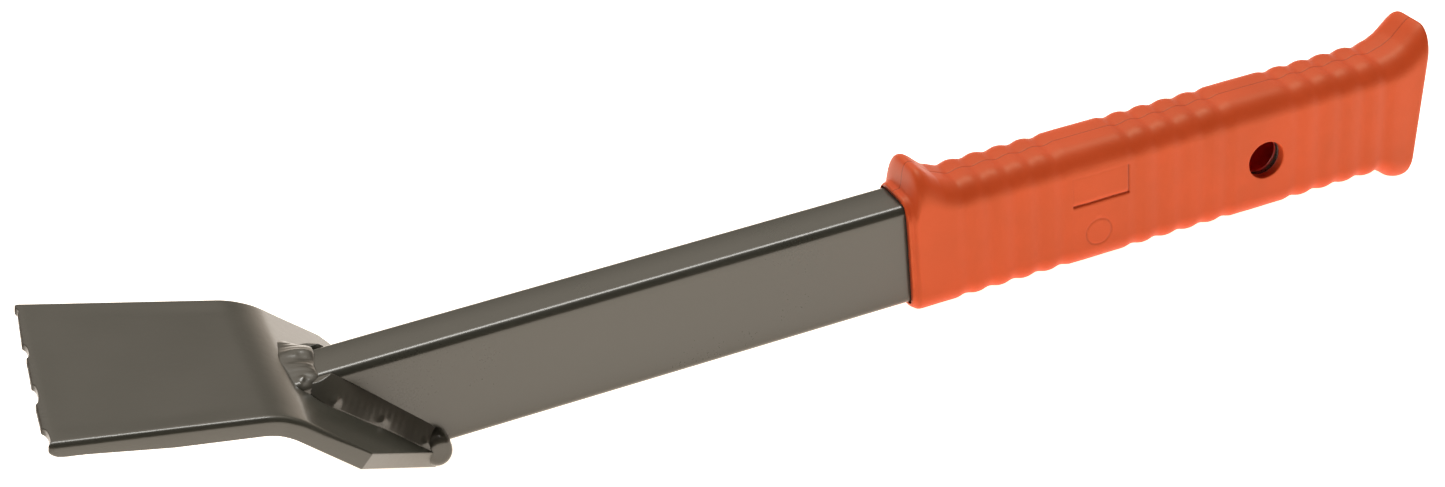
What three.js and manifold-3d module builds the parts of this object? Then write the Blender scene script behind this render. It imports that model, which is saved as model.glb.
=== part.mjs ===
// A heavy cranked scraper with a toothed front edge.
//
// A flat steel bar is bent near its middle: the front half is the blade, the rear half is a
// flange. A rectangular tube stands on the flange as the shank, cut to the flange's slope and
// welded to it all round, and a ribbed grip is moulded over the tube's rear end.
//
// Everything is laid out from the heel: the point where the tube's underside meets the
// flange's upper face. +X runs along the tube to the grip, +Z is up. The last lines stand the
// tool on its lowest points and put the origin under the middle of its box.
import * as THREE from "three";
import { mergeVertices } from "three/addons/utils/BufferGeometryUtils.js";
import Module from "manifold-3d";

// Driving dimensions, in millimetres and degrees.
const GAP = 0.3; // clearance kept between pieces that touch

// Shank: rectangular tube on its narrow side, with a hanging hole near its rear end.
const TUBE_WIDTH = 15;
const TUBE_HEIGHT = 30;
const TUBE_WALL = 2;
const TUBE_CORNER = 2.5;
const TUBE_REAR = 287;
const TUBE_START = -60; // where its sawn front end is cut from, well clear of the flange
const HOLE_X = 242;
const HOLE_Z = 14.2;
const HOLE_DIAMETER = 11;

// Plate: flat bar, bent, with the blade drawn out wider and thinner towards its teeth.
const BAR_WIDTH = 60;
const BAR_THICK = 5;
const FLANGE_SLOPE = 45;
const BEND = 31;
const FLANGE_LENGTH = 51; // heel to the corner of the bend
const BLADE_LENGTH = 55.5; // corner of the bend to the teeth
const BEND_REACH = 6.5; // from the corner of the bend to where the bar is straight again
const EDGE_WIDTH = 68.6;
const THIN_FROM = 26; // the blade's underside starts to rise here
const BEVEL_LENGTH = 8; // the ground stretch under the teeth
const BEVEL_THICK = 3.9; // thickness where that stretch starts
const EDGE_THICK = 2.2; // thickness over the teeth
const CORNER_RADIUS = 1.2; // the blade's front corners, in plan
const REAR_LAP = 2.4; // how far the flange runs past the heel
const REAR_WIDTH = 17;
const SHOULDER = 27; // heel to where the flange starts to narrow

// Teeth: shallow round notches ground into the front edge, from the near corner to the far one.
const NOTCHES = [
  { y: -30, half: 3.5, depth: 1.1 },
  { y: -10.4, half: 4.3, depth: 1 },
  { y: 10, half: 3.2, depth: 0.9 },
  { y: 30.6, half: 1, depth: 0.5 },
];

// Welds: rows of overlapping puddles.
const SIDE_WELD_HEIGHT = 5.6; // up the tube's side, square to the flange
const SIDE_WELD_REACH = 5; // out over the flange
const SIDE_WELD_FADE = 0.25; // share of both lost by the far end
const SIDE_WELD_FIRST = 2; // heel to the first puddle, along the flange
const SIDE_WELD_LAST = 36; // heel to the last one
const SIDE_WELD_END = 38; // heel to where the side welds stop
const SIDE_PUDDLE_PITCH = 4;
const SIDE_PUDDLE_LENGTH = 6; // half of one puddle, along the weld
const TOE_PUDDLES = [-7, -3.5, 0, 3.5, 7]; // their places from side to side
const TOE_SETBACK = 2.5; // from the tube's front edge back to the puddles' middles
const TOE_PUDDLE = { lengthwise: 4, sideways: 3.2, height: 5 }; // half sizes
const HEEL_PUDDLES = [-6, -3, 0, 3, 6];
const HEEL_MIDDLE = { x: 2.2, z: -2 };
const HEEL_PUDDLE = { x: 3, y: 2.6, z: 2.9 };

// Grip: moulded over the tube, with a finger guard in front and a flared end.
const GRIP_FRONT = 133;
const GRIP_REAR = 291.8; // the end face, at the height of the tube's underside
const GRIP_WALL = 3;
const GRIP_CORNER = 6;
const END_LEAN = 5.7; // the end face leans back by this angle
// The guard: distance from the front, then how far the top, the underside and the sides stand
// out from the plain section. A thin lip comes first, and the guard is steep in front.
const GUARD = [
  [0, -1.5, -1.8, -1],
  [0.6, -1.2, -0.9, -1],
  [2.4, -1.2, 0, -0.6],
  [3.2, 1.2, 0, 0],
  [4, 4, 0, 0],
  [4.8, 5.4, 0, 0],
  [5.8, 6, 0, 0],
  [7.2, 5.9, 0, 0],
  [8.4, 5.1, 0, 0],
  [10, 3.5, 0, 0],
  [12, 1.7, 0, 0],
  [14, 0.4, 0, 0],
];
// The flare, the same way, from the rear end. It starts earlier below than above.
const FLARE = [
  [-8.4, 0, 1.1, 0],
  [-6.4, 0.6, 2.7, 0],
  [-4.4, 2.2, 3.5, 0],
  [-2.9, 4.3, 3.8, 0],
  [-1.8, 6, 3.8, 0],
  [-1, 7.2, 3.7, -0.1],
  [-0.4, 7.2, 3.2, -0.6],
  [0, 6.2, 1.4, -1.8],
];
const RIB_PITCH = 7.2;
const RIB_GROUPS = [149.2, 200.6, 252]; // first groove of each group
const GROOVES_IN_GROUP = 5;
const GROOVE_HALF_WIDTH = 1.3;
const GROOVE_DEPTH = 0.65;

const wasm = await Module();
wasm.setup();

const radians = THREE.MathUtils.degToRad;

// A closed three.js geometry as a solid that can be joined and cut.
function solid(geometry) {
  const bare = geometry.clone();
  bare.deleteAttribute("normal");
  bare.deleteAttribute("uv");
  const merged = mergeVertices(bare, 1e-4);
  return new wasm.Manifold(
    new wasm.Mesh({
      numProp: 3,
      vertProperties: new Float32Array(merged.attributes.position.array),
      triVerts: new Uint32Array(merged.index.array),
    }),
  );
}

// A solid as a named mesh, flat shaded so that its edges stay crisp.
function piece(name, body, material) {
  const mesh = body.getMesh();
  const geometry = new THREE.BufferGeometry();
  geometry.setAttribute("position", new THREE.BufferAttribute(mesh.vertProperties, 3));
  geometry.setIndex(new THREE.BufferAttribute(mesh.triVerts, 1));
  const flat = geometry.toNonIndexed();
  flat.computeVertexNormals();
  const made = new THREE.Mesh(flat, material);
  made.name = name;
  return made;
}

// Joins a list of solids into one.
function join(bodies) {
  return bodies.reduce((all, body) => all.add(body));
}

// Extrudes a side view, drawn in X and Z, by a width centred on the tool's middle plane.
function across(shape, width) {
  const geometry = new THREE.ExtrudeGeometry(shape, {
    depth: width,
    curveSegments: 8,
    bevelEnabled: false,
  });
  geometry.translate(0, 0, -width / 2);
  return solid(geometry.rotateX(Math.PI / 2));
}

// Extrudes a section, drawn in Y and Z, along X.
function along(shape, from, to) {
  const geometry = new THREE.ExtrudeGeometry(shape, {
    depth: to - from,
    curveSegments: 5,
    bevelEnabled: false,
  });
  const turn = new THREE.Matrix4().makeBasis(
    new THREE.Vector3(0, 1, 0),
    new THREE.Vector3(0, 0, 1),
    new THREE.Vector3(1, 0, 0),
  );
  return solid(geometry.applyMatrix4(turn).translate(from, 0, 0));
}

// A rectangle with round corners, centred on the middle plane.
function roundRectangle(width, low, high, corner) {
  const inner = width / 2 - corner;
  const shape = new THREE.Shape();
  shape.absarc(inner, low + corner, corner, -Math.PI / 2, 0);
  shape.absarc(inner, high - corner, corner, 0, Math.PI / 2);
  shape.absarc(-inner, high - corner, corner, Math.PI / 2, Math.PI);
  shape.absarc(-inner, low + corner, corner, Math.PI, 1.5 * Math.PI);
  return shape;
}

// The tube's outside, grown outwards by a margin.
function tubeOutline(margin, corner) {
  return roundRectangle(TUBE_WIDTH + 2 * margin, -margin, TUBE_HEIGHT + margin, corner);
}

// One straight stretch of the plate: its own axes, seen from the side. Distance runs along the
// upper face towards the teeth, and height is square to it.
class Stretch {
  constructor(start, slope) {
    this.start = start;
    this.slope = radians(slope);
    this.forward = new THREE.Vector2(-Math.cos(this.slope), Math.sin(this.slope));
    this.up = new THREE.Vector2(Math.sin(this.slope), Math.cos(this.slope));
  }

  // A point of the side view.
  at(distance, height) {
    return this.start
      .clone()
      .addScaledVector(this.forward, distance)
      .addScaledVector(this.up, height);
  }

  // Extrudes an outline, drawn in distance and Y, square through the plate.
  through(outline) {
    const reach = 4 * BAR_THICK;
    const geometry = new THREE.ExtrudeGeometry(outline, {
      depth: 2 * reach,
      curveSegments: 12,
      bevelEnabled: false,
    });
    const turn = new THREE.Matrix4().makeBasis(
      new THREE.Vector3(this.forward.x, 0, this.forward.y),
      new THREE.Vector3(0, 1, 0),
      new THREE.Vector3(-this.up.x, 0, -this.up.y),
    );
    const top = this.at(0, reach);
    return solid(geometry.applyMatrix4(turn).translate(top.x, 0, top.y));
  }
}

const flange = new Stretch(new THREE.Vector2(0, 0), FLANGE_SLOPE);
const blade = new Stretch(flange.at(FLANGE_LENGTH, 0), FLANGE_SLOPE - BEND);

const paintedSteel = new THREE.MeshStandardMaterial({
  color: 0x5b5a50,
  roughness: 0.32,
  metalness: 0.25,
});
const paintedWeld = new THREE.MeshStandardMaterial({
  color: 0x4b4a42,
  roughness: 0.28,
  metalness: 0.25,
});
const orangeGrip = new THREE.MeshStandardMaterial({
  color: 0xe0592a,
  roughness: 0.45,
  metalness: 0,
});

// The bar's side view, with the bend's two arcs round one centre.
function plateProfile() {
  const radius = BEND_REACH / Math.tan(radians(BEND) / 2);
  const centre = flange.at(FLANGE_LENGTH - BEND_REACH, -radius);
  const arcStart = radians(90 - FLANGE_SLOPE);
  const arcEnd = arcStart + radians(BEND);
  const bevelStart = BLADE_LENGTH - BEVEL_LENGTH;
  const shape = new THREE.Shape([flange.at(-REAR_LAP, -BAR_THICK), flange.at(-REAR_LAP, 0)]);
  shape.absarc(centre.x, centre.y, radius, arcStart, arcEnd, false);
  for (const corner of [
    blade.at(BLADE_LENGTH, 0),
    blade.at(BLADE_LENGTH, -EDGE_THICK),
    blade.at(bevelStart, -BEVEL_THICK),
    blade.at(THIN_FROM, -BAR_THICK),
  ])
    shape.lineTo(corner.x, corner.y);
  shape.absarc(centre.x, centre.y, radius - BAR_THICK, arcEnd, arcStart, true);
  return shape;
}

// The flange's outline: straight sides that narrow behind the shoulders.
function flangeOutline() {
  const side = BAR_WIDTH / 2;
  const rear = REAR_WIDTH / 2;
  return new THREE.Shape(
    [
      [-REAR_LAP, -rear],
      [SHOULDER, -side],
      [FLANGE_LENGTH, -side],
      [FLANGE_LENGTH, side],
      [SHOULDER, side],
      [-REAR_LAP, rear],
    ].map(([distance, y]) => new THREE.Vector2(distance, y)),
  );
}

// The blade's outline: sides that spread towards the teeth, and rounded front corners.
function bladeOutline() {
  const root = BAR_WIDTH / 2;
  const tip = EDGE_WIDTH / 2;
  const shape = new THREE.Shape([new THREE.Vector2(0, root), new THREE.Vector2(0, -root)]);
  for (const side of [-1, 1]) {
    const y = side * (tip - CORNER_RADIUS);
    const turn = (side * Math.PI) / 2;
    shape.absarc(
      BLADE_LENGTH - CORNER_RADIUS,
      y,
      CORNER_RADIUS,
      side < 0 ? turn : 0,
      side < 0 ? 0 : turn,
    );
  }
  return shape;
}

// One notch: an oval cutter centred on the front edge.
function notchOutline({ y, half, depth }) {
  const outline = new THREE.Shape();
  outline.absellipse(BLADE_LENGTH, y, depth, half, 0, 2 * Math.PI);
  return outline;
}

function bladePlate() {
  const bar = across(plateProfile(), 2 * EDGE_WIDTH);
  const outline = flange.through(flangeOutline()).add(blade.through(bladeOutline()));
  const notches = NOTCHES.map((notch) => blade.through(notchOutline(notch)));
  return bar.intersect(outline).subtract(join(notches));
}

// Everything below a plane laid a gap above the flange's upper face.
function belowFlange() {
  const reach = 2 * FLANGE_LENGTH;
  const corners = [
    flange.at(-reach, GAP),
    flange.at(reach, GAP),
    flange.at(reach, -reach),
    flange.at(-reach, -reach),
  ];
  return across(new THREE.Shape(corners), 2 * EDGE_WIDTH);
}

// The hanging hole's cutter, from side to side.
function hangingHole() {
  const drill = new THREE.CylinderGeometry(
    HOLE_DIAMETER / 2,
    HOLE_DIAMETER / 2,
    2 * TUBE_HEIGHT,
    40,
  );
  return solid(drill.translate(HOLE_X, 0, HOLE_Z));
}

function shankTube() {
  const section = tubeOutline(0, TUBE_CORNER);
  section.holes.push(tubeOutline(-TUBE_WALL, TUBE_CORNER - TUBE_WALL));
  return along(section, TUBE_START, TUBE_REAR).subtract(belowFlange()).subtract(hangingHole());
}

// A weld puddle: a squashed ball, with its half-sizes along X, Y and Z.
function puddle(centre, x, y, z) {
  const ball = new THREE.SphereGeometry(1, 14, 9);
  return solid(ball.scale(x, y, z).translate(centre.x, centre.y, centre.z));
}

// The same, turned to lie along the flange.
function flangePuddle(distance, y, lengthwise, sideways, height) {
  const ball = new THREE.SphereGeometry(1, 14, 9);
  ball.scale(lengthwise, sideways, height);
  ball.rotateY(flange.slope);
  const centre = flange.at(distance, 0);
  return solid(ball.translate(centre.x, y, centre.y));
}

// Cuts a weld back from the tube, and from everything under the flange's upper face.
function fitWeld(weld) {
  const tube = along(tubeOutline(GAP, TUBE_CORNER + GAP), TUBE_START, TUBE_REAR);
  return weld.subtract(tube).subtract(belowFlange());
}

// A slab across the tool between two distances along the flange.
function flangeSlab(from, to) {
  const reach = FLANGE_LENGTH;
  const corners = [
    flange.at(from, -reach),
    flange.at(to, -reach),
    flange.at(to, reach),
    flange.at(from, reach),
  ];
  return across(new THREE.Shape(corners), 2 * EDGE_WIDTH);
}

// The fillet along one side of the tube. It spreads and rises a little towards the heel.
function sideWeld(side) {
  const puddles = [];
  for (let distance = SIDE_WELD_FIRST; distance <= SIDE_WELD_LAST; distance += SIDE_PUDDLE_PITCH) {
    const fade = 1 - SIDE_WELD_FADE * (distance / SIDE_WELD_LAST) ** 2;
    puddles.push(
      flangePuddle(
        distance,
        side * (TUBE_WIDTH / 2),
        SIDE_PUDDLE_LENGTH,
        SIDE_WELD_REACH * fade,
        SIDE_WELD_HEIGHT * fade,
      ),
    );
  }
  return fitWeld(join(puddles)).intersect(flangeSlab(0, SIDE_WELD_END));
}

// The bead over the tube's front end, from side to side.
function toeWeld() {
  const toe = TUBE_HEIGHT / Math.sin(flange.slope);
  const { lengthwise, sideways, height } = TOE_PUDDLE;
  const puddles = TOE_PUDDLES.map((y) =>
    flangePuddle(toe - TOE_SETBACK, y, lengthwise, sideways, height),
  );
  return fitWeld(join(puddles)).intersect(flangeSlab(SIDE_WELD_END + GAP, FLANGE_LENGTH));
}

// The blob under the tube that wraps the flange's rear end.
function heelWeld() {
  const puddles = HEEL_PUDDLES.map((y) => {
    const centre = new THREE.Vector3(HEEL_MIDDLE.x, y, HEEL_MIDDLE.z);
    return puddle(centre, HEEL_PUDDLE.x, HEEL_PUDDLE.y, HEEL_PUDDLE.z);
  });
  const clear = flangeSlab(-REAR_LAP - GAP, FLANGE_LENGTH);
  return fitWeld(join(puddles)).subtract(clear);
}

// The grip's shape along X, as stations: where, and how far the top, the underside and the
// sides stand out from the plain section. Minus is inwards.
function gripStations() {
  const stations = [];
  const add = (x, top, foot, side) => stations.push({ x, top, foot, side });
  for (const [distance, ...stands] of GUARD) add(GRIP_FRONT + distance, ...stands);
  for (const first of RIB_GROUPS)
    for (let i = 0; i < GROOVES_IN_GROUP; i++) {
      const x = first + i * RIB_PITCH;
      add(x - GROOVE_HALF_WIDTH, 0, 0, 0);
      add(x, -GROOVE_DEPTH, -GROOVE_DEPTH, -GROOVE_DEPTH / 2);
      add(x + GROOVE_HALF_WIDTH, 0, 0, 0);
    }
  for (const [distance, ...stands] of FLARE) add(GRIP_REAR + distance, ...stands);
  return stations;
}

// The grip's outside: the plain section carried through the stations, scaled about its middle
// at each one, with its rear end leaning.
function gripOutside() {
  const stations = gripStations();
  const section = roundRectangle(
    TUBE_WIDTH + 2 * GRIP_WALL,
    -GRIP_WALL,
    TUBE_HEIGHT + GRIP_WALL,
    GRIP_CORNER,
  );
  const halfWidth = TUBE_WIDTH / 2 + GRIP_WALL;
  const middle = TUBE_HEIGHT / 2;
  const halfHeight = middle + GRIP_WALL;
  const leanFrom = RIB_GROUPS.at(-1) + GROOVES_IN_GROUP * RIB_PITCH - RIB_PITCH / 2;
  const geometry = new THREE.ExtrudeGeometry(section, {
    depth: stations.length - 1,
    steps: stations.length - 1,
    curveSegments: 3,
    bevelEnabled: false,
  });
  const corners = geometry.attributes.position;
  for (let i = 0; i < corners.count; i++) {
    const { x, top, foot, side } = stations[Math.round(corners.getZ(i))];
    const height = corners.getY(i) - middle;
    const reach = height > 0 ? halfHeight + top : halfHeight + foot;
    const y = corners.getX(i) * (1 + side / halfWidth);
    const z = middle + height * (reach / halfHeight);
    const leaning = Math.max(0, (x - leanFrom) / (GRIP_REAR - leanFrom));
    corners.setXYZ(i, x + leaning * z * Math.tan(radians(END_LEAN)), y, z);
  }
  return solid(geometry);
}

function grip() {
  const pocket = along(tubeOutline(GAP, TUBE_CORNER + GAP), GRIP_FRONT - GRIP_WALL, TUBE_REAR + GAP);
  return gripOutside().subtract(pocket).subtract(hangingHole());
}

// Assembly, in the order it is made: bar, tube, welds, grip.
const tool = new THREE.Group();
tool.add(piece("blade_plate", bladePlate(), paintedSteel));
tool.add(piece("shank_tube", shankTube(), paintedSteel));
tool.add(piece("toe_weld", toeWeld(), paintedWeld));
tool.add(piece("side_weld_near", sideWeld(-1), paintedWeld));
tool.add(piece("side_weld_far", sideWeld(1), paintedWeld));
tool.add(piece("heel_weld", heelWeld(), paintedWeld));
tool.add(piece("grip", grip(), orangeGrip));

// Stand the tool on the ground with the origin under the middle of its box.
const box = new THREE.Box3().setFromObject(tool);
tool.position.set(-(box.min.x + box.max.x) / 2, 0, -box.min.z);

const scraper = new THREE.Group();
scraper.add(tool);
export default scraper;
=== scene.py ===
"""A heavy cranked scraper: toothed blade, welded tube shank and ribbed orange grip."""

import math

import bmesh
import bpy
import numpy as np
from mathutils import Euler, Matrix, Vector


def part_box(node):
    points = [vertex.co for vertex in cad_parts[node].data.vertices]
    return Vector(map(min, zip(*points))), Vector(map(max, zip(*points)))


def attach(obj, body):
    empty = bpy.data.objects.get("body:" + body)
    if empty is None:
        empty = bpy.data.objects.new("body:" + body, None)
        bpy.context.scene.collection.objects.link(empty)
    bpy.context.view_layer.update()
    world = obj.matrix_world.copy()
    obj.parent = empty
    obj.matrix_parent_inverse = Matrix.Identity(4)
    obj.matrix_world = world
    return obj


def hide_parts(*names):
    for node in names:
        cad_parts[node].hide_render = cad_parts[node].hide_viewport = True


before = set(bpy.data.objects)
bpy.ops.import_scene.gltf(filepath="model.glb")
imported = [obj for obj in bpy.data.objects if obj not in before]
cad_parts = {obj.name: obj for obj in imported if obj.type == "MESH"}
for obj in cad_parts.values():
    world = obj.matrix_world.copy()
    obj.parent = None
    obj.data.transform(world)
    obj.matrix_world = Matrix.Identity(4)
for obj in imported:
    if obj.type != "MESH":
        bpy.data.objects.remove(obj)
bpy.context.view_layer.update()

# Camera. It stands on the near side of the tool, about half a metre away, and looks down on it
# from the blade's end. Everything below is laid out from the heel: the point on the middle
# plane where the tube's underside meets the bent plate, in millimetres.
MM = 0.001
TUBE_REAR = 287.0  # heel to the tube's rear end
tube_low, tube_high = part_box("shank_tube")
heel = np.array([tube_high.x - TUBE_REAR * MM, 0.0, tube_low.z])

CAMERA_PLACE = np.array([-72.93, -480.07, 326.72])  # from the heel
LOOK_DOWN, LOOK_RIGHT, TIP_OVER = (math.radians(angle) for angle in (30.393, 18.124, -6.536))

camera_data = bpy.data.cameras.new("camera")
camera_data.lens = 56.144
camera_data.sensor_width = 36.0
camera_data.clip_start = 0.01
camera = bpy.data.objects.new("camera", camera_data)
bpy.context.scene.collection.objects.link(camera)
camera.location = Vector(heel + CAMERA_PLACE * MM)
camera.rotation_euler = (
    Euler((0.0, 0.0, -LOOK_RIGHT)).to_matrix()
    @ Euler((math.pi / 2 - LOOK_DOWN, 0.0, 0.0)).to_matrix()
    @ Euler((0.0, 0.0, TIP_OVER)).to_matrix()
).to_euler()
bpy.context.scene.camera = camera


class Value:
    """One output of a node tree. + and * between values and numbers, and a number minus a
    value, add Math nodes."""

    def __init__(self, tree, socket=None):
        self.tree = tree
        self.socket = socket

    def node(self, kind, inputs=(), output=0, **settings):
        """Adds a node, with its settings first and then its sockets."""
        made = self.tree.nodes.new(kind)
        for name, setting in settings.items():
            setattr(made, name, setting)
        for key, given in dict(inputs).items():
            if isinstance(given, Value):
                self.tree.links.new(given.socket, made.inputs[key])
            else:
                made.inputs[key].default_value = given
        return Value(self.tree, made.outputs[output])

    def math(self, operation, first, second):
        return self.node("ShaderNodeMath", {0: first, 1: second}, operation=operation)

    def __add__(self, other):
        return self.math("ADD", self, other)

    def __radd__(self, other):
        return self.math("ADD", other, self)

    def __rsub__(self, other):
        return self.math("SUBTRACT", other, self)

    def __mul__(self, other):
        return self.math("MULTIPLY", self, other)

    def __rmul__(self, other):
        return self.math("MULTIPLY", other, self)

    def blend(self, low, high):
        """The colour low where this value is 0 and high where it is 1."""
        inputs = {0: self, 6: low, 7: high}
        return self.node("ShaderNodeMix", inputs, output=2, data_type="RGBA")

    def between(self, low, high):
        """0 below low, 1 above high, straight in between."""
        inputs = {"Value": self, "From Min": low, "From Max": high}
        return self.node("ShaderNodeMapRange", inputs, clamp=True)

    def noise(self, scale, detail=2.0):
        """Cloudy noise over the object's own coordinates, scale in cycles per metre."""
        place = self.node("ShaderNodeTexCoord", output="Object")
        inputs = {"Vector": place, "Scale": scale, "Detail": detail}
        return self.node("ShaderNodeTexNoise", inputs)


def new_finish(name, **constants):
    """A material with one Principled shader. Returns the material, a value to build on, and
    the shader. The constants are set on the shader's own sockets."""
    material = bpy.data.materials.new(name)
    material.use_nodes = True
    tree = material.node_tree
    shader = tree.nodes["Principled BSDF"]
    for socket, constant in constants.items():
        shader.inputs[socket.replace("_", " ")].default_value = constant
    return material, Value(tree), shader


def feed(shader, **values):
    """Links values to the shader's sockets."""
    for socket, value in values.items():
        value.tree.links.new(value.socket, shader.inputs[socket.replace("_", " ")])


# Studio. A pale floor under the tool, a softbox overhead, and a sky that is bright along the
# far horizon with a dark band above it, so the paint has something to reflect. The camera
# itself sees the sky as white.
FLOOR_SIZE = 5.0
ROWS = 60
FLOOR_GLOW, FLOOR_STRENGTH = (1.0, 0.87, 0.745, 1.0), 1.32  # just enough to read as white
BOX_PLACE, BOX_WIDTH, BOX_DEPTH, BOX_POWER = (0.1, 0.4, 1.2), 1.2, 0.36, 12.0
HORIZON, HIGH_SKY, DARK_SKY = (1.05, 0.87, 0.7, 1.0), (0.94, 0.835, 0.715, 1.0), (0.05, 0.045, 0.04, 1.0)
WHITE = (1.0, 1.0, 1.0, 1.0)


def grid_faces(rows, columns, closed=False):
    """Quads between neighbouring points of a grid kept row by row. A closed grid also joins
    its last column to its first."""
    row, column = np.meshgrid(
        np.arange(rows - 1), np.arange(columns if closed else columns - 1), indexing="ij"
    )
    beside = (column + 1) % columns
    corners = [row * columns + column, row * columns + beside]
    corners += [corners[1] + columns, corners[0] + columns]
    return np.stack(corners, axis=-1).reshape(-1, 4)


def new_mesh(name, points, faces, material):
    """A smooth shaded object from points in metres and quads of point numbers."""
    mesh = bpy.data.meshes.new(name)
    mesh.from_pydata(points.tolist(), [], faces.tolist())
    mesh.materials.append(material)
    mesh.shade_smooth()
    made = bpy.data.objects.new(name, mesh)
    bpy.context.scene.collection.objects.link(made)
    return made


across, away = np.meshgrid(*[np.linspace(-0.5, 0.5, ROWS) * FLOOR_SIZE] * 2, indexing="ij")
floor_points = np.stack([across, away, np.zeros_like(across)], axis=-1).reshape(-1, 3)
pale, value, shader = new_finish("pale_floor", Specular_IOR_Level=0.2)
shader.inputs["Emission Color"].default_value = FLOOR_GLOW
shader.inputs["Emission Strength"].default_value = FLOOR_STRENGTH
cloud = value.noise(1.3)
feed(
    shader,
    Base_Color=cloud.blend((0.86, 0.86, 0.86, 1.0), (0.9, 0.9, 0.89, 1.0)),
    Roughness=0.75 + 0.1 * cloud,
)
floor = new_mesh("floor", floor_points, grid_faces(ROWS, ROWS), pale)


def softbox(name, place, target, width, height, power):
    """A rectangular area light that faces its target, unseen by the camera itself."""
    data = bpy.data.lights.new(name, "AREA")
    data.shape = "RECTANGLE"
    data.size = width
    data.size_y = height
    data.energy = power
    light = bpy.data.objects.new(name, data)
    light.location = place
    light.rotation_euler = (Vector(target) - Vector(place)).to_track_quat("-Z", "Y").to_euler()
    light.visible_camera = False
    bpy.context.scene.collection.objects.link(light)


softbox("overhead_box", BOX_PLACE, (0.0, 0.0, 0.0), BOX_WIDTH, BOX_DEPTH, BOX_POWER)

world = bpy.data.worlds.new("studio")
bpy.context.scene.world = world
world.use_nodes = True
sky = Value(world.node_tree)
direction = sky.node("ShaderNodeTexCoord", output="Generated")
east, north, up = (sky.node("ShaderNodeSeparateXYZ", {0: direction}, output=i) for i in range(3))
# The horizon's glow is on the far side, turned a little to the grip's end.
behind = (0.45 * east + 0.9 * north).between(0.4, 0.7)
low = 1.0 - up.between(0.0, 0.27)
# Above a dark band, the far half of the sky is bright again.
far = north.between(-0.2, 0.4)
high = far * (0.12 + 0.88 * up.between(0.36, 0.54))
glow = (behind * low).blend(high.blend(DARK_SKY, HIGH_SKY), HORIZON)
seen = sky.node("ShaderNodeLightPath", output="Is Camera Ray")
glow = seen.blend(glow, WHITE)
world.node_tree.links.new(glow.socket, world.node_tree.nodes["Background"].inputs["Color"])
world.node_tree.nodes["Background"].inputs["Strength"].default_value = 1.0
bpy.context.scene.view_settings.view_transform = "Standard"


# Plate. One flat steel bar, 5 mm thick. Its front half is forged wider and thinner towards
# the teeth and bent down by 31 degrees; its rear half, the flange, is sawn to a blunt point.
# The teeth are left between four round notches, ground shallower towards the far corner.
FLANGE_SLOPE = math.radians(45.0)
BEND = math.radians(31.0)
BEND_FROM = 44.5  # heel to the start of the bend, along the upper face
BEND_REACH = 6.5  # from the corner of the bend to where the bar is straight again
BEND_RADIUS = BEND_REACH / math.tan(BEND / 2)
BEND_TO = BEND_FROM + BEND_RADIUS * BEND
EDGE = BEND_TO + 49.0  # heel to the teeth, along the upper face
REAR_END = -2.4  # the flange runs this far past the heel
SHOULDER = 27.0  # heel to where the flange starts to narrow
REAR_HALF, BAR_HALF, EDGE_HALF = 8.5, 30.0, 34.3  # half widths: rear end, bar, front edge
CORNER = 1.2  # radius of the front corners, in plan
THICK_RUN = [BEND_TO, EDGE - 29, EDGE - 20, EDGE - 8, EDGE - 3.5, EDGE]
THICKNESS = [5.0, 5.0, 4.5, 3.8, 2.75, 2.1]
NOTCHES = [(-30.0, 3.7, 1.1), (-10.6, 4.5, 1.0), (10.0, 3.4, 0.9), (30.6, 1.2, 0.45)]  # y, half, depth
NOTCH_ROUND = 2.5  # power of a notch's outline: 2 is an ellipse, and more is squarer
TEETH_Y = [-34.3, -26.2, -15.0, -6.0, 6.6, 13.3, 29.4, 31.8, 34.3]
TEETH_BACK = [0.55, 0.05, 0.02, 0.12, 0.35, 0.05, 0.7, 0.25, 0.4]  # how far their tips fall short
MARGIN = 1.6  # strip along each side where the grid's columns close up
TIP_STRETCH = 10.0  # the last stretch, drawn out to the front line
SAWN_ROUND, FORGED_ROUND = 0.35, 1.25  # the sides' rounding: all along, and what forging adds
FRONT_REACH, FRONT_DROP = 2.6, 0.7  # the upper face's fall towards the front edge
RIM_REACH, RIM_DROP = 0.3, 0.25  # the rounding of the teeth's and notches' rims
REAR_ROUND = 0.5
WAVE = 0.05  # height of the forging's waves
FAR_AWAY = 50.0  # longer than any rounding's reach


def on_plate(run, y, height):
    """Points in metres. Run is the distance from the heel along the plate's upper face: up to
    the bend it is straight, in the bend it turns about one centre, and then it is straight
    again. Height is square to the face, and minus is into the steel."""
    turned = np.clip((run - BEND_FROM) / BEND_RADIUS, 0.0, BEND)
    up = FLANGE_SLOPE + turned
    along = np.minimum(run, BEND_FROM)
    past = np.maximum(run - BEND_TO, 0.0)
    x = -along * math.sin(FLANGE_SLOPE) + BEND_RADIUS * (np.cos(up) - math.cos(FLANGE_SLOPE))
    z = along * math.cos(FLANGE_SLOPE) + BEND_RADIUS * (np.sin(up) - math.sin(FLANGE_SLOPE))
    x = x - past * np.sin(up) + height * np.cos(up)
    z = z + past * np.cos(up) + height * np.sin(up)
    y = np.broadcast_to(y, x.shape)
    return heel + np.stack([x, y, z], axis=-1) * MM


def rounded(distance, reach, drop):
    """How far a quarter ellipse has fallen at a distance inside an edge: by drop at the edge
    itself, and by nothing from reach inwards."""
    inside = np.clip(1.0 - distance / reach, 0.0, 1.0)
    return drop * (1.0 - np.sqrt(np.maximum(1.0 - inside**2, 0.0)))


def smooth(value, low, high):
    """0 below low, 1 above high, with a soft start and end."""
    share = np.clip((value - low) / (high - low), 0.0, 1.0)
    return share * share * (3.0 - 2.0 * share)


def quarter(reach, count):
    """Distances from an edge that are close together where a rounding is steep."""
    return reach * (1.0 - np.cos(np.linspace(0.0, math.pi / 2, count)))


def half_width(run):
    """Half of the plate's width: a straight taper behind the shoulder, and a straight
    spread from the bend to the front corners."""
    places = [REAR_END, SHOULDER, BEND_TO - BEND_REACH, EDGE - CORNER]
    return np.interp(run, places, [REAR_HALF, BAR_HALF, BAR_HALF, EDGE_HALF])


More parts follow.
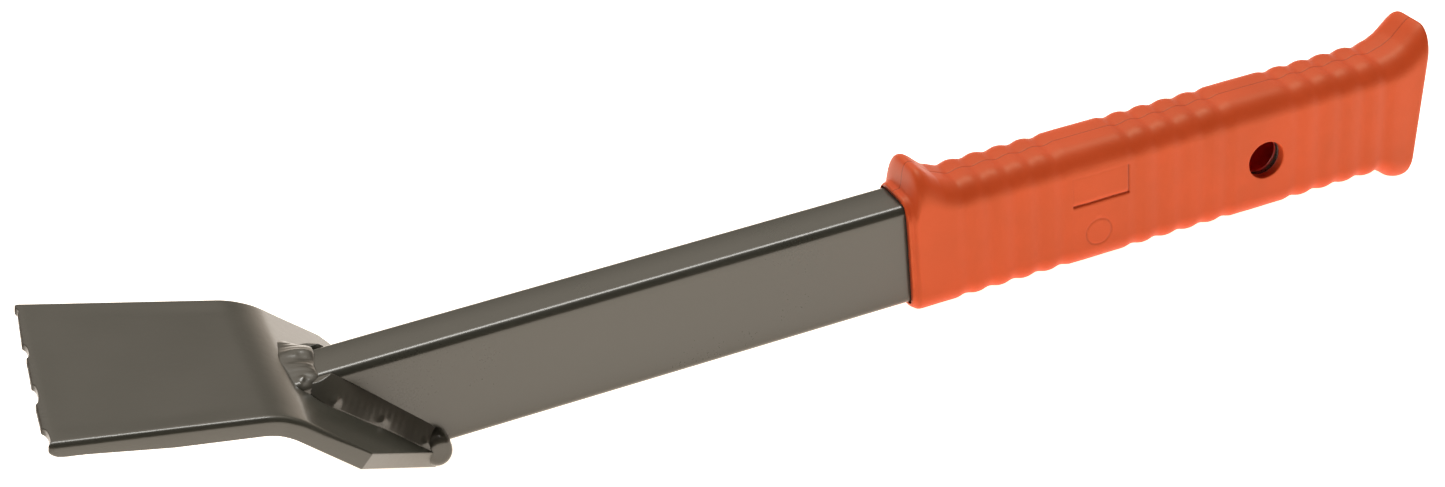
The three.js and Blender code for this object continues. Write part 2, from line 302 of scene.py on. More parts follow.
def front_line(y):
    """Where the front edge lies: a line over the tips of the teeth, less a quarter circle at
    each corner, less the notches, each half of a flattened ellipse."""
    past = np.clip(np.abs(y) - (EDGE_HALF - CORNER), 0.0, CORNER)
    line = EDGE - CORNER + np.sqrt(CORNER**2 - past**2)
    line = line - np.interp(y, TEETH_Y, TEETH_BACK)
    for middle, half, depth in NOTCHES:
        offset = np.minimum(np.abs(y - middle) / half, 1.0)
        line = line - depth * np.sqrt(1.0 - offset**NOTCH_ROUND)
    return line


def plate_grid():
    """Run and y of the plate's grid lines. Columns close up at the two sides. Rows are
    straight across up to the last stretch, which is drawn out to the front line."""
    inner = np.linspace(-1.0, 1.0, 190)
    edge = quarter(MARGIN, 9)[:-1]
    last_straight = EDGE - TIP_STRETCH
    rear = REAR_END + quarter(0.6, 6)
    shoulder = SHOULDER + np.array([-0.5, -0.2, 0.0, 0.2, 0.5])
    rows = np.concatenate([rear, np.arange(REAR_END + 1.5, last_straight, 1.1), shoulder])
    rows = np.unique(np.round(rows, 3))
    stretch = 1.0 - quarter(1.0, 22)[::-1]
    tip_y = np.concatenate([-EDGE_HALF + edge, inner * (EDGE_HALF - MARGIN), EDGE_HALF - edge[::-1]])
    tip = front_line(tip_y)
    front = last_straight + stretch[1:, None] * (tip[None, :] - last_straight)
    run = np.concatenate([np.broadcast_to(rows[:, None], (len(rows), len(tip))), front])
    half = half_width(run)
    side = np.concatenate([-np.ones(len(edge)), np.zeros(len(inner)), np.ones(len(edge))])
    off = np.concatenate([edge, np.zeros(len(inner)), -edge[::-1]])
    flat = np.concatenate([np.zeros(len(edge)), inner, np.zeros(len(edge))])
    y = side * half + off + flat * (half - MARGIN)
    return run, y, tip


def plate_heights(run, y, tip):
    """Heights of the upper and lower faces: the bar's thickness, less the rounding of its
    sides, of its ends and of the notches' rims, plus the forging's shallow waves. Near its
    two front corners the edge is left blunt, about 1 mm thicker than between them."""
    half = half_width(run)
    side = half - np.abs(y)
    front = np.minimum(EDGE - run, FAR_AWAY)
    past_side = np.maximum(np.abs(y) - (half - CORNER), 0.0)
    past_front = np.maximum(run - (EDGE - CORNER), 0.0)
    turn = np.arctan2(past_front, past_side + 1e-9)
    in_corner = (past_side > 0) & (past_front > 0)
    corner = np.maximum(CORNER - np.hypot(past_side, past_front), 0.0)
    forged = smooth(run, SHOULDER - 2, BEND_FROM)
    soft = SAWN_ROUND + FORGED_ROUND * forged
    side_drop = rounded(np.where(in_corner, corner, side), soft, soft)
    front_drop = rounded(np.where(in_corner, corner, front), FRONT_REACH, FRONT_DROP)
    share = np.sin(turn) ** 2
    top = np.where(in_corner, side_drop * (1 - share) + front_drop * share, side_drop)
    top = np.maximum(top, np.where(in_corner, 0.0, front_drop))
    rear_drop = rounded(run - REAR_END, REAR_ROUND, REAR_ROUND)
    top = top + rounded(tip[None, :] - run, RIM_REACH, RIM_DROP) + rear_drop
    blunt = smooth(np.abs(y), 25.0, 33.0)
    thick = np.interp(run, THICK_RUN, THICKNESS)
    thick = thick + blunt * smooth(run, EDGE - 9, EDGE - 3)
    under = np.minimum(0.5, 0.12 * thick)
    low_drop = rounded(np.minimum(side, corner + FAR_AWAY * ~in_corner), under, under)
    low_drop = low_drop + rounded(tip[None, :] - run, 0.4 + 1.8 * blunt, 0.3 + 1.1 * blunt)
    low_drop = np.maximum(low_drop, rear_drop)
    inward = smooth(side, 1.0, 8.0) * smooth(EDGE - run, 0.0, 8.0) * smooth(run, 30.0, 60.0)
    wave = np.sin(run / 9.0 + 0.6 * np.sin(y / 13.0)) * np.cos(y / 11.0 + 0.7)
    wave = WAVE * inward * (wave + 0.6 * np.sin(run / 4.7 + y / 6.1) - 1.6)
    return wave - top, low_drop - thick


def finish_piece(name, points, faces, material, node, slot):
    """Makes the piece, merges its doubled points, turns its faces outwards, and puts it on
    the tool in place of the CAD node."""
    made = new_mesh(name, points.reshape(-1, 3), faces, material)
    shell = bmesh.new()
    shell.from_mesh(made.data)
    bmesh.ops.remove_doubles(shell, verts=shell.verts, dist=2e-7)
    bmesh.ops.recalc_face_normals(shell, faces=shell.faces)
    shell.to_mesh(made.data)
    shell.free()
    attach(made, "root")
    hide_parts(node)
    return made


OLIVE, OLIVE_SHADE = (0.041, 0.041, 0.032, 1.0), (0.046, 0.045, 0.036, 1.0)
# The red here is painted light, the glow the orange moulding throws into the tube's bore; the brown is
# real wear.
RUBBED_BROWN, MOULDING_BOUNCE_RED = (0.035, 0.026, 0.018, 1.0), (0.9, 0.08, 0.06, 1.0)
SPECK_GAIN = 1.12


def painted(name, base, shade, rough, peel):
    """Stoved gloss paint: two close greys in clouds, a faint speckle, and the orange peel of a
    sprayed coat. The attribute wear rubs it down to dull brown, and a second attribute paints
    in red light: the glow that the orange moulding throws into the bore."""
    material, value, shader = new_finish(
        name, IOR=1.55, Specular_Tint=(1.0, 0.97, 0.9, 1.0), Coat_Roughness=0.12, Coat_IOR=1.5
    )
    cloud = value.noise(38.0, 3.0)
    speck = value.noise(1500.0, 1.0)
    colour = cloud.between(0.35, 0.65).blend(base, shade)
    colour = (0.6 * speck).blend(colour, tuple(SPECK_GAIN * c for c in base[:3]) + (1.0,))
    worn = value.node("ShaderNodeAttribute", output="Fac", attribute_name="wear")
    rubbed = worn * (0.4 + 0.6 * value.noise(700.0, 3.0).between(0.35, 0.6))
    colour = rubbed.blend(colour, RUBBED_BROWN)
    skin = value.noise(420.0, 2.0) * peel + value.noise(60.0) * 2.0 * peel
    bump = value.node("ShaderNodeBump", {"Height": skin, "Strength": 1.0, "Distance": 0.0001})
    # Share of painted red light from the moulding, read from the points.
    moulding_bounce = value.node("ShaderNodeAttribute", output="Fac", attribute_name="moulding_bounce")
    feed(
        shader,
        Base_Color=moulding_bounce.blend(colour, MOULDING_BOUNCE_RED),
        Roughness=rough + 0.1 * cloud + 0.05 * speck + 0.45 * rubbed + 0.4 * moulding_bounce,
        Coat_Weight=0.5 - 0.5 * rubbed,
        Normal=bump,
    )
    return material


def places_of(piece):
    """The x, y and z of a piece's points, in millimetres from the heel."""
    places = np.empty(3 * len(piece.data.vertices))
    piece.data.vertices.foreach_get("co", places)
    return ((places.reshape(-1, 3) - heel) / MM).T


def keep(piece, name, numbers):
    """Keeps a number from 0 to 1 for each point, which the finish reads by its name."""
    layer = piece.data.attributes.new(name, "FLOAT", "POINT")
    layer.data.foreach_set("value", np.clip(numbers, 0.0, 1.0).astype(np.float32))


plate_paint = painted("painted_steel", OLIVE, OLIVE_SHADE, 0.24, 0.25)
run, y, tip = plate_grid()
upper, lower = plate_heights(run, y, tip)
rows, columns = run.shape
skin = np.concatenate([on_plate(run, y, upper), on_plate(run, y, lower)[:, ::-1]], axis=1)
faces = [grid_faces(rows, 2 * columns, closed=True)]
first = np.arange(columns - 1)
for row in (0, rows - 1):
    start = row * 2 * columns
    ends = [first, first + 1, 2 * columns - 2 - first, 2 * columns - 1 - first]
    faces.append(start + np.stack(ends, axis=-1))
plate = finish_piece(
    "blade", skin, np.concatenate(faces), plate_paint, "blade_plate", "painted_steel"
)

# The paint is rubbed off the front face of the edge, and thinner just behind it. Back and
# depth are distances from the edge's top corner, along the blade and square into it.
x, y, z = places_of(plate)
corner = (on_plate(np.array([EDGE]), 0.0, np.array([0.0]))[0] - heel) / MM
blade_slope = FLANGE_SLOPE - BEND
back = (x - corner[0]) * math.cos(blade_slope) - (z - corner[2]) * math.sin(blade_slope)
depth = -(x - corner[0]) * math.sin(blade_slope) - (z - corner[2]) * math.cos(blade_slope)
on_front = (depth > 0.25) & (back < 0.3 + np.interp(y, TEETH_Y, TEETH_BACK)) & (np.abs(y) < 33)
keep(plate, "wear", 0.45 * (1.0 - smooth(back, 0.4, 3.0)) + 0.55 * on_front)


# Shank. A length of rectangular steel tube, 30 x 15 x 2 mm, standing on its narrow side. Its
# front is sawn to the flange's slope, and an 11 mm hanging hole is drilled near its rear.
TUBE_HALF, TUBE_HEIGHT, TUBE_WALL, TUBE_CORNER = 7.5, 30.0, 2.0, 2.5
HOLE_X, HOLE_Z, HOLE_RADIUS = 242.0, 14.2, 5.5
HOLE_WINDOW = 8.0  # half of the square left out of the walls' grids round the hole


def quarter_turn(start, count):
    """Directions along a quarter circle, from a start angle, as cosines and sines."""
    angle = np.radians(start + np.linspace(0.0, 90.0, count))
    return np.cos(angle), np.sin(angle)


def tube_ring(half, low, high, corner, side_z, count=7):
    """One section's y and z, all the way round: up the far side, over the top, down the near
    side and back underneath, with round corners between."""
    y, z = [np.full(len(side_z), half)], [side_z]
    for start, sign, edge in ((0, 1, high), (90, -1, high), (180, -1, low), (270, 1, low)):
        cosine, sine = quarter_turn(start, count)
        y.append(sign * (half - corner) + corner * cosine)
        z.append(edge + (corner if edge == low else -corner) + corner * sine)
        if start == 90:
            y.append(np.full(len(side_z), -half))
            z.append(side_z[::-1])
    return np.concatenate(y), np.concatenate(z)


def ring_patch(loop, middle, steps, side):
    """Rings of points from a square loop in to a hole. Each step is a radius and how deep it
    lies; its points are in the directions of the loop's own points from the hole's middle."""
    direction = loop[:, [0, 2]] - middle
    direction = direction / np.hypot(*direction.T)[:, None]
    rings = [loop]
    for radius, depth in steps:
        ring = np.empty_like(loop)
        ring[:, [0, 2]] = middle + radius * direction
        ring[:, 1] = side * (abs(loop[0, 1]) - depth)
        rings.append(ring)
    return np.stack(rings)


class Shell:
    """Collects grids of points, in millimetres from the heel, into one closed surface."""

    def __init__(self):
        self.points = []
        self.faces = []
        self.count = 0

    def add(self, grid, closed=False, leave_out=None):
        rows, columns = grid.shape[:2]
        faces = grid_faces(rows, columns, closed)
        if leave_out is not None:
            faces = faces[~leave_out.reshape(-1)]
        self.faces.append(faces + self.count)
        self.points.append(grid.reshape(-1, 3))
        self.count += rows * columns

    def done(self):
        return heel + np.concatenate(self.points) * MM, np.concatenate(self.faces)


def pierced(shell, outer, inner, edge_round):
    """Adds an outer and an inner wall, each a closed grid of rows along X, with a round hole
    from side to side through both. Round the hole, each wall leaves out a square of its grid,
    and rings fill it in: flat in to the hole, over its rounded rim, and through the wall."""
    middle = np.array([HOLE_X, HOLE_Z])
    turns = np.linspace(0.0, math.pi / 2, 6)
    rim = [(HOLE_RADIUS + edge_round * (1 - math.sin(a)), edge_round * (1 - math.cos(a))) for a in turns]
    flat = [(HOLE_RADIUS + edge_round + 0.15, 0.0)]
    lines = {}
    for name, wall in (("outer", outer), ("inner", inner)):
        x, y, z = np.moveaxis(wall, -1, 0)
        near_hole = (np.abs(x - HOLE_X) < HOLE_WINDOW + 0.01) & (
            np.abs(z - TUBE_HEIGHT / 2) < HOLE_WINDOW + 0.01
        )
        quad = near_hole[:-1] & near_hole[1:]
        quad = quad & np.roll(quad, -1, axis=1)
        quad = quad & (np.sign(y[:-1]) == np.sign(np.roll(y, -1, axis=1)[:-1]))
        shell.add(wall, closed=True, leave_out=quad)
        for side in (-1, 1):
            here = quad & (np.sign(y[:-1]) == side)
            rows = np.flatnonzero(here.any(axis=1))
            columns = np.flatnonzero(here.any(axis=0))
            r0, r1, c0, c1 = rows[0], rows[-1] + 1, columns[0], columns[-1] + 1
            loop = [wall[r0, c0:c1], wall[r0:r1, c1], wall[r1, c1:c0:-1], wall[r1:r0:-1, c0]]
            lines[name, side] = np.concatenate(loop)
    for side in (-1, 1):
        outside, inside = lines["outer", side], lines["inner", side]
        patch = ring_patch(outside, middle, flat + rim, side)
        shell.add(patch, closed=True)
        end = patch[-1].copy()
        end[:, 1] = side * abs(inside[0, 1])
        share = np.linspace(0.0, 1.0, 5)[:, None, None]
        shell.add(patch[-1] * (1 - share) + end * share, closed=True)
        back = ring_patch(inside, middle, [(HOLE_RADIUS + 0.6, 0.0)], side)
        shell.add(np.stack([back[0], back[1], end]), closed=True)


side_z = np.array([2.5, 4.0, 5.5, *np.arange(7.0, 23.5, 1.0), 24.5, 26.0, 27.5])
window_x = np.arange(HOLE_X - HOLE_WINDOW, HOLE_X + HOLE_WINDOW + 0.5, 1.0)
slant = np.linspace(0.0, 1.0, 30)
tube_x = np.concatenate([np.arange(14.0, 230.0, 9.0), window_x, [258.0, 270.0, TUBE_REAR]])


def tube_wall(half, low, high, corner):
    """The section carried along X from the sawn front, where x is minus z, to the rear."""
    y, z = tube_ring(half, low, high, corner, side_z)
    front = (-z + 0.1)[None, :] * (1 - slant[:, None]) + 10.0 * slant[:, None]
    x = np.concatenate([front, np.broadcast_to(tube_x[:, None], (len(tube_x), len(y)))])
    return np.stack([x, np.broadcast_to(y, x.shape), np.broadcast_to(z, x.shape)], axis=-1)


tube = Shell()
outer = tube_wall(TUBE_HALF, 0.0, TUBE_HEIGHT, TUBE_CORNER)
inner = tube_wall(TUBE_HALF - TUBE_WALL, TUBE_WALL, TUBE_HEIGHT - TUBE_WALL, 0.5)
pierced(tube, outer, inner, 0.2)
for row in (0, -1):
    tube.add(np.stack([outer[row], inner[row]]), closed=True)
tube_paint = painted("painted_tube", OLIVE, OLIVE_SHADE, 0.22, 0.08)
shank = finish_piece("shank", *tube.done(), tube_paint, "shank_tube", "painted_steel")
# Close to the hanging hole the bore is painted red. This is painted light: the glow that the orange
# moulding round the hole throws into the tube.
x, y, z = places_of(shank)
inside = np.maximum(np.abs(y) - TUBE_HALF, np.abs(z - TUBE_HEIGHT / 2) - TUBE_HEIGHT / 2) < -1.5
keep(shank, "moulding_bounce", inside * (1.0 - smooth(np.abs(x - HOLE_X), 15.0, 25.0)))


# Welds. Beads of weld metal laid by hand and painted over: one across the tube's front end,
# one down each side of the tube, and a blob that wraps the flange's rear end under the heel.
WELD_OLIVE = (0.046, 0.042, 0.033, 1.0)
TUBE_TOP_RUN = 42.4  # heel to the top of the tube's sawn front, along the flange
SLANT = 0.707  # cosine of the flange's slope
TOE_MIDDLE, TOE_HALF = 1.0, 12.5  # its middle and half length, from side to side
TOE_REACH, TOE_LAP = 3.3, 5.6  # how far it runs out over the plate, and back over the tube
TOE_PROUD = 1.5
TOE_BURIED = -1.5  # height of its hidden underside
TOE_LUMPS = ((0.3, -8.3, 0.5), (0.16, -9.8, 0.35), (0.55, 2.2, -0.35))  # across, y, height
weld_paint = painted("painted_weld", WELD_OLIVE, OLIVE, 0.24, 0.15)


def hump(value, middle, reach):
    """1 at the middle, falling softly to 0 on both sides."""
    return np.exp(-(((value - middle) / reach) ** 2))


def toe_mound():
    """The bead over the tube's front end, as one grid. Across, it runs from the plate beyond
    the tube, over the end, to the tube's top face, standing proud of both; along, its reach
    and height vary, with a puddle at each side, a hollow between, two small lumps and a dent."""
    across = np.linspace(0.0, 1.0, 46)[:, None]
    share = np.sin(np.linspace(-math.pi / 2, math.pi / 2, 90))[None, :]
    y = TOE_MIDDLE + TOE_HALF * share
    closing = np.sqrt(np.maximum(1.0 - np.abs(share) ** 4, 0.0))
    front = TUBE_TOP_RUN + (TOE_REACH + 0.5 * np.sin(y / 2.6 + 1.0)) * closing
    back = (TOE_LAP + 0.7 * np.sin(y / 3.1 - 0.5)) * closing
    droop = 1.0 - 0.9 * smooth(np.abs(y), 6.5, 13.5)
    run = front + across * (TUBE_TOP_RUN - SLANT * back - front)
    base = SLANT * back * across**1.6 * droop - 0.25 * (1 - across)
    puddles = 0.7 * hump(y, 3.8, 2.6) + 0.35 * hump(y, -4.0, 3.5)
    proud = TOE_PROUD + puddles - 0.3 * hump(y, 0.2, 1.6)
    skin = proud * closing * np.sin(math.pi * across) ** 0.7
    for at, at_y, size in TOE_LUMPS:
        skin = skin + size * hump(across, at, 0.12) * hump(y, at_y, 1.1)
    ripple = 0.05 * np.sin(2 * math.pi * y / 2.1 + 4.0 * across) * np.sin(math.pi * across)
    height = base + skin + ripple * closing
    under = np.broadcast_to(np.array([[30.0], [42.0]]), (2, y.shape[1]))
    run = np.concatenate([run, under])
    height = np.concatenate([height, np.full_like(under, TOE_BURIED)])
    grid = on_plate(run, np.broadcast_to(y, run.shape), height)
    return grid.transpose(1, 0, 2)


toe = toe_mound()
finish_piece(
    "toe_bead", toe, grid_faces(*toe.shape[:2], closed=True), weld_paint, "toe_weld", "painted_weld"
)


BEAD_START, BEAD_END = -2.2, 41.5  # along the flange, from the heel
LEG_UP_AT, LEG_UP = [-2, 6, 15, 24, 33.5], [4.6, 4.8, 5.1, 5.5, 5.8]
LEG_OUT_AT, LEG_OUT = [-2, 5, 12, 19, 27, 34, 38, 41], [5.0, 4.6, 4.2, 4.5, 5.4, 6.0, 5.5, 5.0]
BEAD_LUMPS = (5.5, 19.5, 34.0)
BULGE_SHARE = 0.7  # share of the bulge that goes out along each leg
END_SLANT = 0.75  # how much the rear end leans


def side_bead(side):
    """A fillet between the tube's side and the flange. Across, its face runs from a leg up the
    tube to a leg out over the flange with a slight bulge; along, the legs vary, three small
    lumps stand on the lower leg, the rear end leans and closes round, and the front end is
    cut off level with the tube's top."""
    along = np.linspace(BEAD_START, BEAD_END, 200)[:, None]
    over = np.linspace(0.0, 1.0, 34)[None, :]
    share = (along - (BEAD_START + BEAD_END) / 2) / ((BEAD_END - BEAD_START) / 2)
    closing = np.sqrt(np.clip(1 - share**14, 0.0, 1.0))
    up_tube = np.interp(along, LEG_UP_AT, LEG_UP) * closing
    out = np.interp(along, LEG_OUT_AT, LEG_OUT)
    out = (out + 0.15 * np.sin(along / 2.3 + 2 * side)) * closing
    bow = np.sin(math.pi * over) * (0.35 + 0.04 * np.sin(along / 2.9 + side)) * closing
    lump = smooth(over, 0.5, 0.82) * (1.0 - smooth(over, 0.82, 0.98))
    for place in BEAD_LUMPS:
        bow = bow + 0.42 * hump(along, place, 1.2) * lump
    bow = bow + 0.012 * np.sin(2 * math.pi * along / 1.9) * np.sin(math.pi * over)
    y = TUBE_HALF + out * over + BULGE_SHARE * bow
    height = up_tube * (1 - over) + BULGE_SHARE * bow
    none = 0 * along
    y = np.concatenate([y, TUBE_HALF + none, TUBE_HALF - 0.5 + none], axis=1)
    height = np.concatenate([height - 0.15 * (over > 0.97), none - 0.4, 0.5 * up_tube], axis=1)
    run = along + END_SLANT * height * (1.0 - smooth(along, -2.0, 10.0))
    height = np.minimum(height, TUBE_TOP_RUN + 0.2 - run)
    grid = on_plate(run, side * y, height)
    caps = [np.broadcast_to(g.mean(axis=0), g.shape)[None] for g in (grid[0], grid[-1])]
    return np.concatenate([caps[0], grid, caps[1]])


for side, name, node in ((-1, "near_fillet", "side_weld_near"), (1, "far_fillet", "side_weld_far")):
    grid = side_bead(side)
    faces = grid_faces(*grid.shape[:2], closed=True)
    finish_piece(name, grid, faces, weld_paint, node, "painted_weld")

# The heel blob is a squashed ball, drawn out from side to side, with flattened ends and a
# slightly lumpy skin.
HEEL_X, HEEL_Z = -0.5, 1.0
HEEL_REACH, HEEL_HALF, HEEL_RISE = 4.0, 12.2, 4.9  # half sizes along X, Y and Z
FLATTENED = 0.25  # power that flattens the ends: 1 leaves them round
polar = np.linspace(0.0, math.pi, 60)[:, None]
around = np.linspace(0.0, 2 * math.pi, 64, endpoint=False)[None, :]
swell = 1.0 + 0.03 * np.sin(3 * polar + 2 * around) + 0.02 * np.cos(5 * polar - around)
girth = swell * np.sin(polar) ** 0.5
blob = heel + MM * np.stack(
    [
        HEEL_X + HEEL_REACH * girth * np.cos(around),
        HEEL_HALF * np.sign(np.cos(polar)) * np.abs(np.cos(polar)) ** FLATTENED + 0 * around,
        HEEL_Z + HEEL_RISE * girth * np.sin(around),
    ],
    axis=-1,
)
finish_piece(
    "heel_bead",
    blob,
    grid_faces(polar.size, around.size, closed=True),
    weld_paint,
    "heel_weld",
    "painted_weld",
)


# Grip. Orange rubber moulded over the tube's rear end: a thin lip and a finger guard in
# front, three groups of ribs, and a flared pommel. The mould's halves meet along the top.
GRIP_FRONT, GRIP_REAR = 133.0, 291.75
GRIP_HALF, GRIP_LOW, GRIP_HIGH = 10.5, -3.0, 33.0
TOP_CORNER, FOOT_CORNER = 6.5, 6.0
END_LEAN = math.tan(math.radians(5.7))  # the end face leans back
LEAN_FROM = 284.4  # the lean builds up from here
GROOVE_HALF = 3.3  # from a groove's middle to the rib's crest
GROOVE_TOP, GROOVE_FOOT, GROOVE_SIDE = 0.65, 0.6, 0.3
END_ROUND = 1.2
LIP_STEP = 1.0  # the lip stands this far in from the guard's sides
SEAM_DEPTH = 0.1
POCKET_GAP = 0.3  # clearance round the tube
PANEL_BELOW, PANEL_BEHIND, PANEL_FAINT, RING_DEPTH = 0.45, 0.3, 0.03, 0.16  # depths of the marks
RIB_GROUPS, RIB_PITCH, RIBS = (149.2, 200.6, 252.0), 7.2, 5
RING_X, RING_Z, RING_RADIUS = 189.0, 7.4, 3.9
PANEL_X, PANEL_Z = (181.4, 198.4), (17.1, 25.5)


def grooves(x):
    """1 at the bottom of each groove between the ribs and 0 on the ribs."""
    centres = np.array([first + i * RIB_PITCH for first in RIB_GROUPS for i in range(RIBS)])
    nearest = np.abs(x[..., None] - centres).min(axis=-1)
    return 0.5 + 0.5 * np.cos(math.pi * np.minimum(nearest / GROOVE_HALF, 1.0))


def top_rise(x):
    """How far the top stands above the plain section: lip, crease, guard, flare."""
    places = [0, 0.4, 1.4, 2.2, 2.5, 2.8, 3.3, 4.0, 4.9, 6, 7.2, 9, 11, 13.5, 16]
    rises = [-1.5, -1.25, -1.2, -1.2, -0.2, 2.0, 4.4, 5.8, 6.2, 5.9, 5.0, 3.2, 1.4, 0.4, 0]
    flare_at = [283.4, 285.4, 287.4, 288.9, 290.0, 291.0, 292.0]
    flares = [0, 0.6, 2.2, 4.3, 6.1, 7.3, 7.6]
    return np.interp(x, [GRIP_FRONT + p for p in places] + flare_at, rises + flares)


def foot_drop(x):
    """How far the underside hangs below the plain section: rounded lip, then the flare."""
    return np.interp(
        x,
        [133, 133.4, 134, 135, 136, 280.4, 283.4, 285.4, 287.4, 288.9, 290.2, 291.8],
        [-1.8, -1.1, -0.6, -0.15, 0, 0, 1.1, 2.7, 3.5, 3.8, 3.8, 3.4],
    )


def soften(function, x, reach):
    """The average of a function over a short stretch, which rounds its corners."""
    offsets = np.linspace(-reach, reach, 9)
    return np.mean([function(x + o) for o in offsets], axis=0)


lines_x = [
    GRIP_FRONT + quarter(1.0, 7),
    np.arange(GRIP_FRONT + 1.2, 150.0, 0.33),
    np.arange(150.0, 233.8, 0.45),
    window_x,
    np.arange(250.4, 281.0, 0.45),
    np.arange(281.0, GRIP_REAR - 1.3, 0.35),
    GRIP_REAR - quarter(END_ROUND, 9),
    np.arange(RING_X - 4.8, RING_X + 4.8, 0.3),
]
for place in PANEL_X:
    lines_x.append(place + np.array([-0.5, -0.25, 0.0, 0.25, 0.5]))
grip_x = np.unique(np.round(np.concatenate(lines_x), 2))
near_z = np.concatenate(
    [
        [3.0],
        np.arange(3.2, 7.0, 0.28),
        [7.0],
        np.arange(7.25, 11.9, 0.28),
        [13.0, 14.0, 15.0, 16.0],
    ]
    + [z + np.array([-0.5, -0.25, 0.0, 0.25, 0.5]) for z in PANEL_Z]
    + [[18.6, 19.8, 21.0, 22.0, 23.0, 24.0, 26.5]]
)
near_z = np.unique(np.round(near_z, 2))
far_z = np.array([3.0, 4.3, 5.6, 7.0, *np.arange(8.0, 23.5, 1.0), 24.5, 26.5])
top_y = np.array([4.0, 3.0, 2.0, 1.2, 0.6, 0.3, 0.15, 0.0, -0.15, -0.3, -0.6, -1.2, -2, -3, -4])


def arc_points(y, z, radius, start, count=12):
    """Points along a quarter circle about a centre, without its two ends."""
    cosine, sine = quarter_turn(start, count)
    return y + radius * cosine[1:-1], z + radius * sine[1:-1]


def plain_section():
    """The section's y and z: up the far side, over the top, down the near side, underneath."""
    top, foot = GRIP_HIGH - TOP_CORNER, GRIP_LOW + FOOT_CORNER
    wide, low_wide = GRIP_HALF - TOP_CORNER, GRIP_HALF - FOOT_CORNER
    pieces = [
        (np.full(len(far_z), GRIP_HALF), far_z),
        arc_points(wide, top, TOP_CORNER, 0),
        (np.concatenate([[wide], top_y, [-wide]]), np.full(len(top_y) + 2, GRIP_HIGH)),
        arc_points(-wide, top, TOP_CORNER, 90),
        (np.full(len(near_z), -GRIP_HALF), near_z[::-1]),
        arc_points(-low_wide, foot, FOOT_CORNER, 180),
        (np.linspace(-low_wide, low_wide, 8), np.full(8, GRIP_LOW)),
        arc_points(low_wide, foot, FOOT_CORNER, 270),
    ]
    return [np.concatenate(axis) for axis in zip(*pieces)]


def marks(x, z):
    """Depth of the shallow moulded marks on the near side: the step round a name panel,
    deepest below and behind it, and a plain ring."""
    in_x = smooth(x, PANEL_X[0] - 0.3, PANEL_X[0]) * smooth(-x, -PANEL_X[1] - 0.3, -PANEL_X[1])
    in_z = smooth(z, PANEL_Z[0] - 0.3, PANEL_Z[0]) * smooth(-z, -PANEL_Z[1] - 0.3, -PANEL_Z[1])

    def line(distance, half=0.4):
        """1 on a line, falling straight to 0 at half its width."""
        return np.clip(1 - np.abs(distance) / half, 0, 1)

    depth = PANEL_BELOW * line(z - PANEL_Z[0], 0.45) * in_x
    depth = depth + PANEL_BEHIND * line(x - PANEL_X[1]) * in_z
    depth = depth + PANEL_FAINT * line(z - PANEL_Z[1]) * in_x
    depth = depth + PANEL_FAINT * line(x - PANEL_X[0]) * in_z
    return depth + RING_DEPTH * line(np.hypot(x - RING_X, z - RING_Z) - RING_RADIUS)


def grip_skin():
    """The plain section at every x, stretched up or down about its middle by the guard and
    the flare, pulled in by the grooves, the marks, the mould line and the rounded ends."""
    y, z = plain_section()
    x = grip_x[:, None]
    middle = (GRIP_LOW + GRIP_HIGH) / 2
    half_height = (GRIP_HIGH - GRIP_LOW) / 2
    groove = grooves(x)
    end = rounded(GRIP_REAR - x, END_ROUND, END_ROUND)
    start = rounded(x - GRIP_FRONT, 0.6, 0.4)
    lip = LIP_STEP * (1 - smooth(x, GRIP_FRONT + 1.0, GRIP_FRONT + 2.0))
    top = half_height + soften(top_rise, x, 0.3) - GROOVE_TOP * groove - end - start
    foot = half_height + soften(foot_drop, x, 0.5) - GROOVE_FOOT * groove - end - start
    worn = 0.05 * np.sin(x / 1.7 + 2.0 * np.sin(x / 9.0))
    side = GRIP_HALF - GROOVE_SIDE * groove - 0.05 - worn - end - start - lip
    height = z[None, :] - middle
    reach = np.where(height > 0, top, foot)
    new_z = middle + height * reach / half_height
    new_y = y[None, :] * side / GRIP_HALF
    seam = SEAM_DEPTH * np.clip(1 - np.abs(y) / 0.3, 0, 1) * (z > middle)
    new_z = new_z - seam[None, :]
    flat_side = (y[None, :] < -GRIP_HALF + 0.01) & (x > GRIP_FRONT + 3)
    new_y = new_y + np.where(flat_side, marks(x, z[None, :]), 0.0)
    leaning = np.maximum(x - LEAN_FROM, 0.0) / (GRIP_REAR - LEAN_FROM)
    new_x = x + leaning * new_z * END_LEAN
    return np.stack([new_x, new_y, new_z], axis=-1)


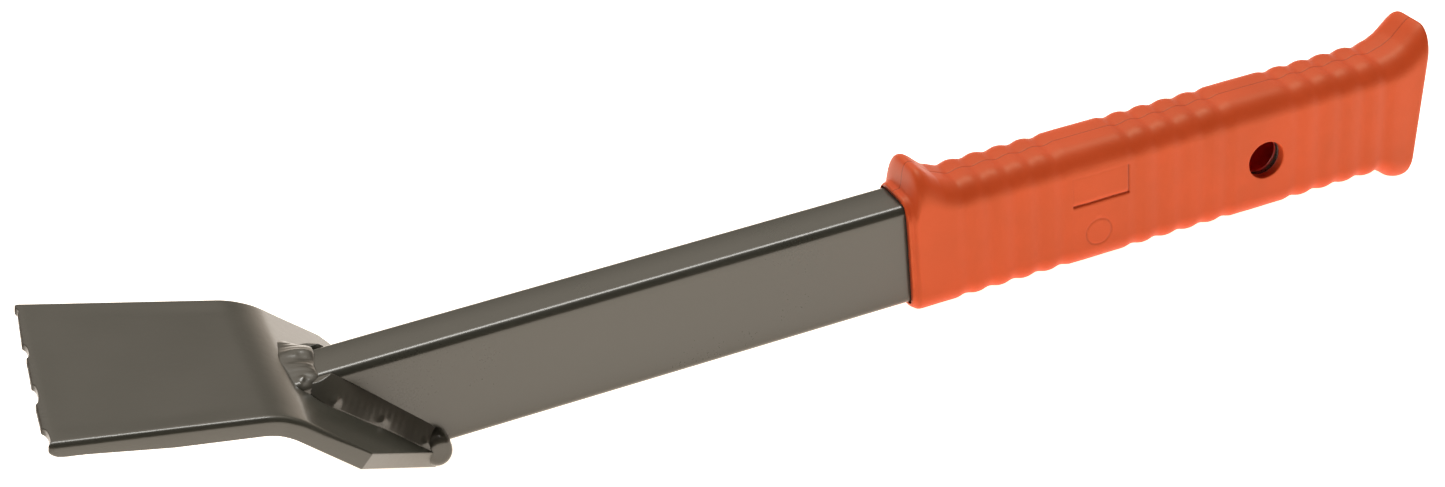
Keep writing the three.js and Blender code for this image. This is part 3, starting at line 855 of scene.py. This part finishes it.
def pocket(skin):
    """The tube's space inside the grip: each point of the skin's plain section brought in to
    a smaller round-cornered rectangle, as far as the tube's rear end."""
    y, z = plain_section()
    middle = TUBE_HEIGHT / 2
    half, half_height = TUBE_HALF + POCKET_GAP, TUBE_HEIGHT / 2 + POCKET_GAP
    inner_y = np.clip(y * half / GRIP_HALF, -half, half)
    inner_z = middle + np.clip(z - middle, -half_height, half_height)
    x = np.minimum(grip_x, TUBE_REAR + POCKET_GAP)[:, None]
    x = np.broadcast_to(x, skin.shape[:2])
    return np.stack([x, np.broadcast_to(inner_y, x.shape), np.broadcast_to(inner_z, x.shape)], -1)


def cap(ring):
    """Rings that shrink from an end's outline to its middle."""
    shares = np.linspace(1.0, 0.0, 14)[:, None, None]
    centre = ring.mean(axis=0)
    return centre + (ring - centre)[None] * shares


skin = grip_skin()
hollow = pocket(skin)
last = int(np.searchsorted(grip_x, TUBE_REAR))
grip_shell = Shell()
pierced(grip_shell, skin, hollow[: last + 1], 0.35)
grip_shell.add(np.stack([skin[0], hollow[0]]), closed=True)
grip_shell.add(cap(skin[-1]), closed=True)
grip_shell.add(cap(hollow[last]), closed=True)

ORANGE, ORANGE_SHADE = (0.6, 0.074, 0.018, 1.0), (0.66, 0.083, 0.022, 1.0)
# Painted shade: a darker red laid into the mould line along the top and into the marks' step lines,
# deepest under and behind the panel.
CREASE_SHADE_RED = (0.25, 0.02, 0.006, 1.0)
rubber, value, shader = new_finish(
    "orange_grip", IOR=1.48, Specular_IOR_Level=0.4, Specular_Tint=(1.0, 0.85, 0.5, 1.0)
)
cloud = value.noise(55.0, 3.0)
fine = value.noise(900.0, 2.0)
# How much painted crease shade each point carries.
crease_shade = value.node("ShaderNodeAttribute", output="Fac", attribute_name="crease_shade")
colour = cloud.between(0.35, 0.65).blend(ORANGE, ORANGE_SHADE)
colour = (crease_shade * (0.7 + 0.5 * fine)).between(0.0, 1.0).blend(colour, CREASE_SHADE_RED)
pores = value.noise(2600.0, 1.0) * 0.5 + value.noise(240.0, 2.0)
bump = value.node("ShaderNodeBump", {"Height": pores, "Strength": 1.0, "Distance": 0.00004})
feed(shader, Base_Color=colour, Roughness=0.38 + 0.12 * cloud + 0.06 * fine, Normal=bump)
grip = finish_piece("grip_cover", *grip_shell.done(), rubber, "grip", "orange_grip")
# Where the painted shade goes: at half strength along the mould line on top, and in the near side's
# marks by their depth.
x, y, z = places_of(grip)
seam = 0.5 * (np.abs(y) < 0.2) * (z > TUBE_HEIGHT)
marked = np.clip(2.4 * marks(x, z), 0, 0.9) * (y < -0.94 * GRIP_HALF)
keep(grip, "crease_shade", seam + marked)
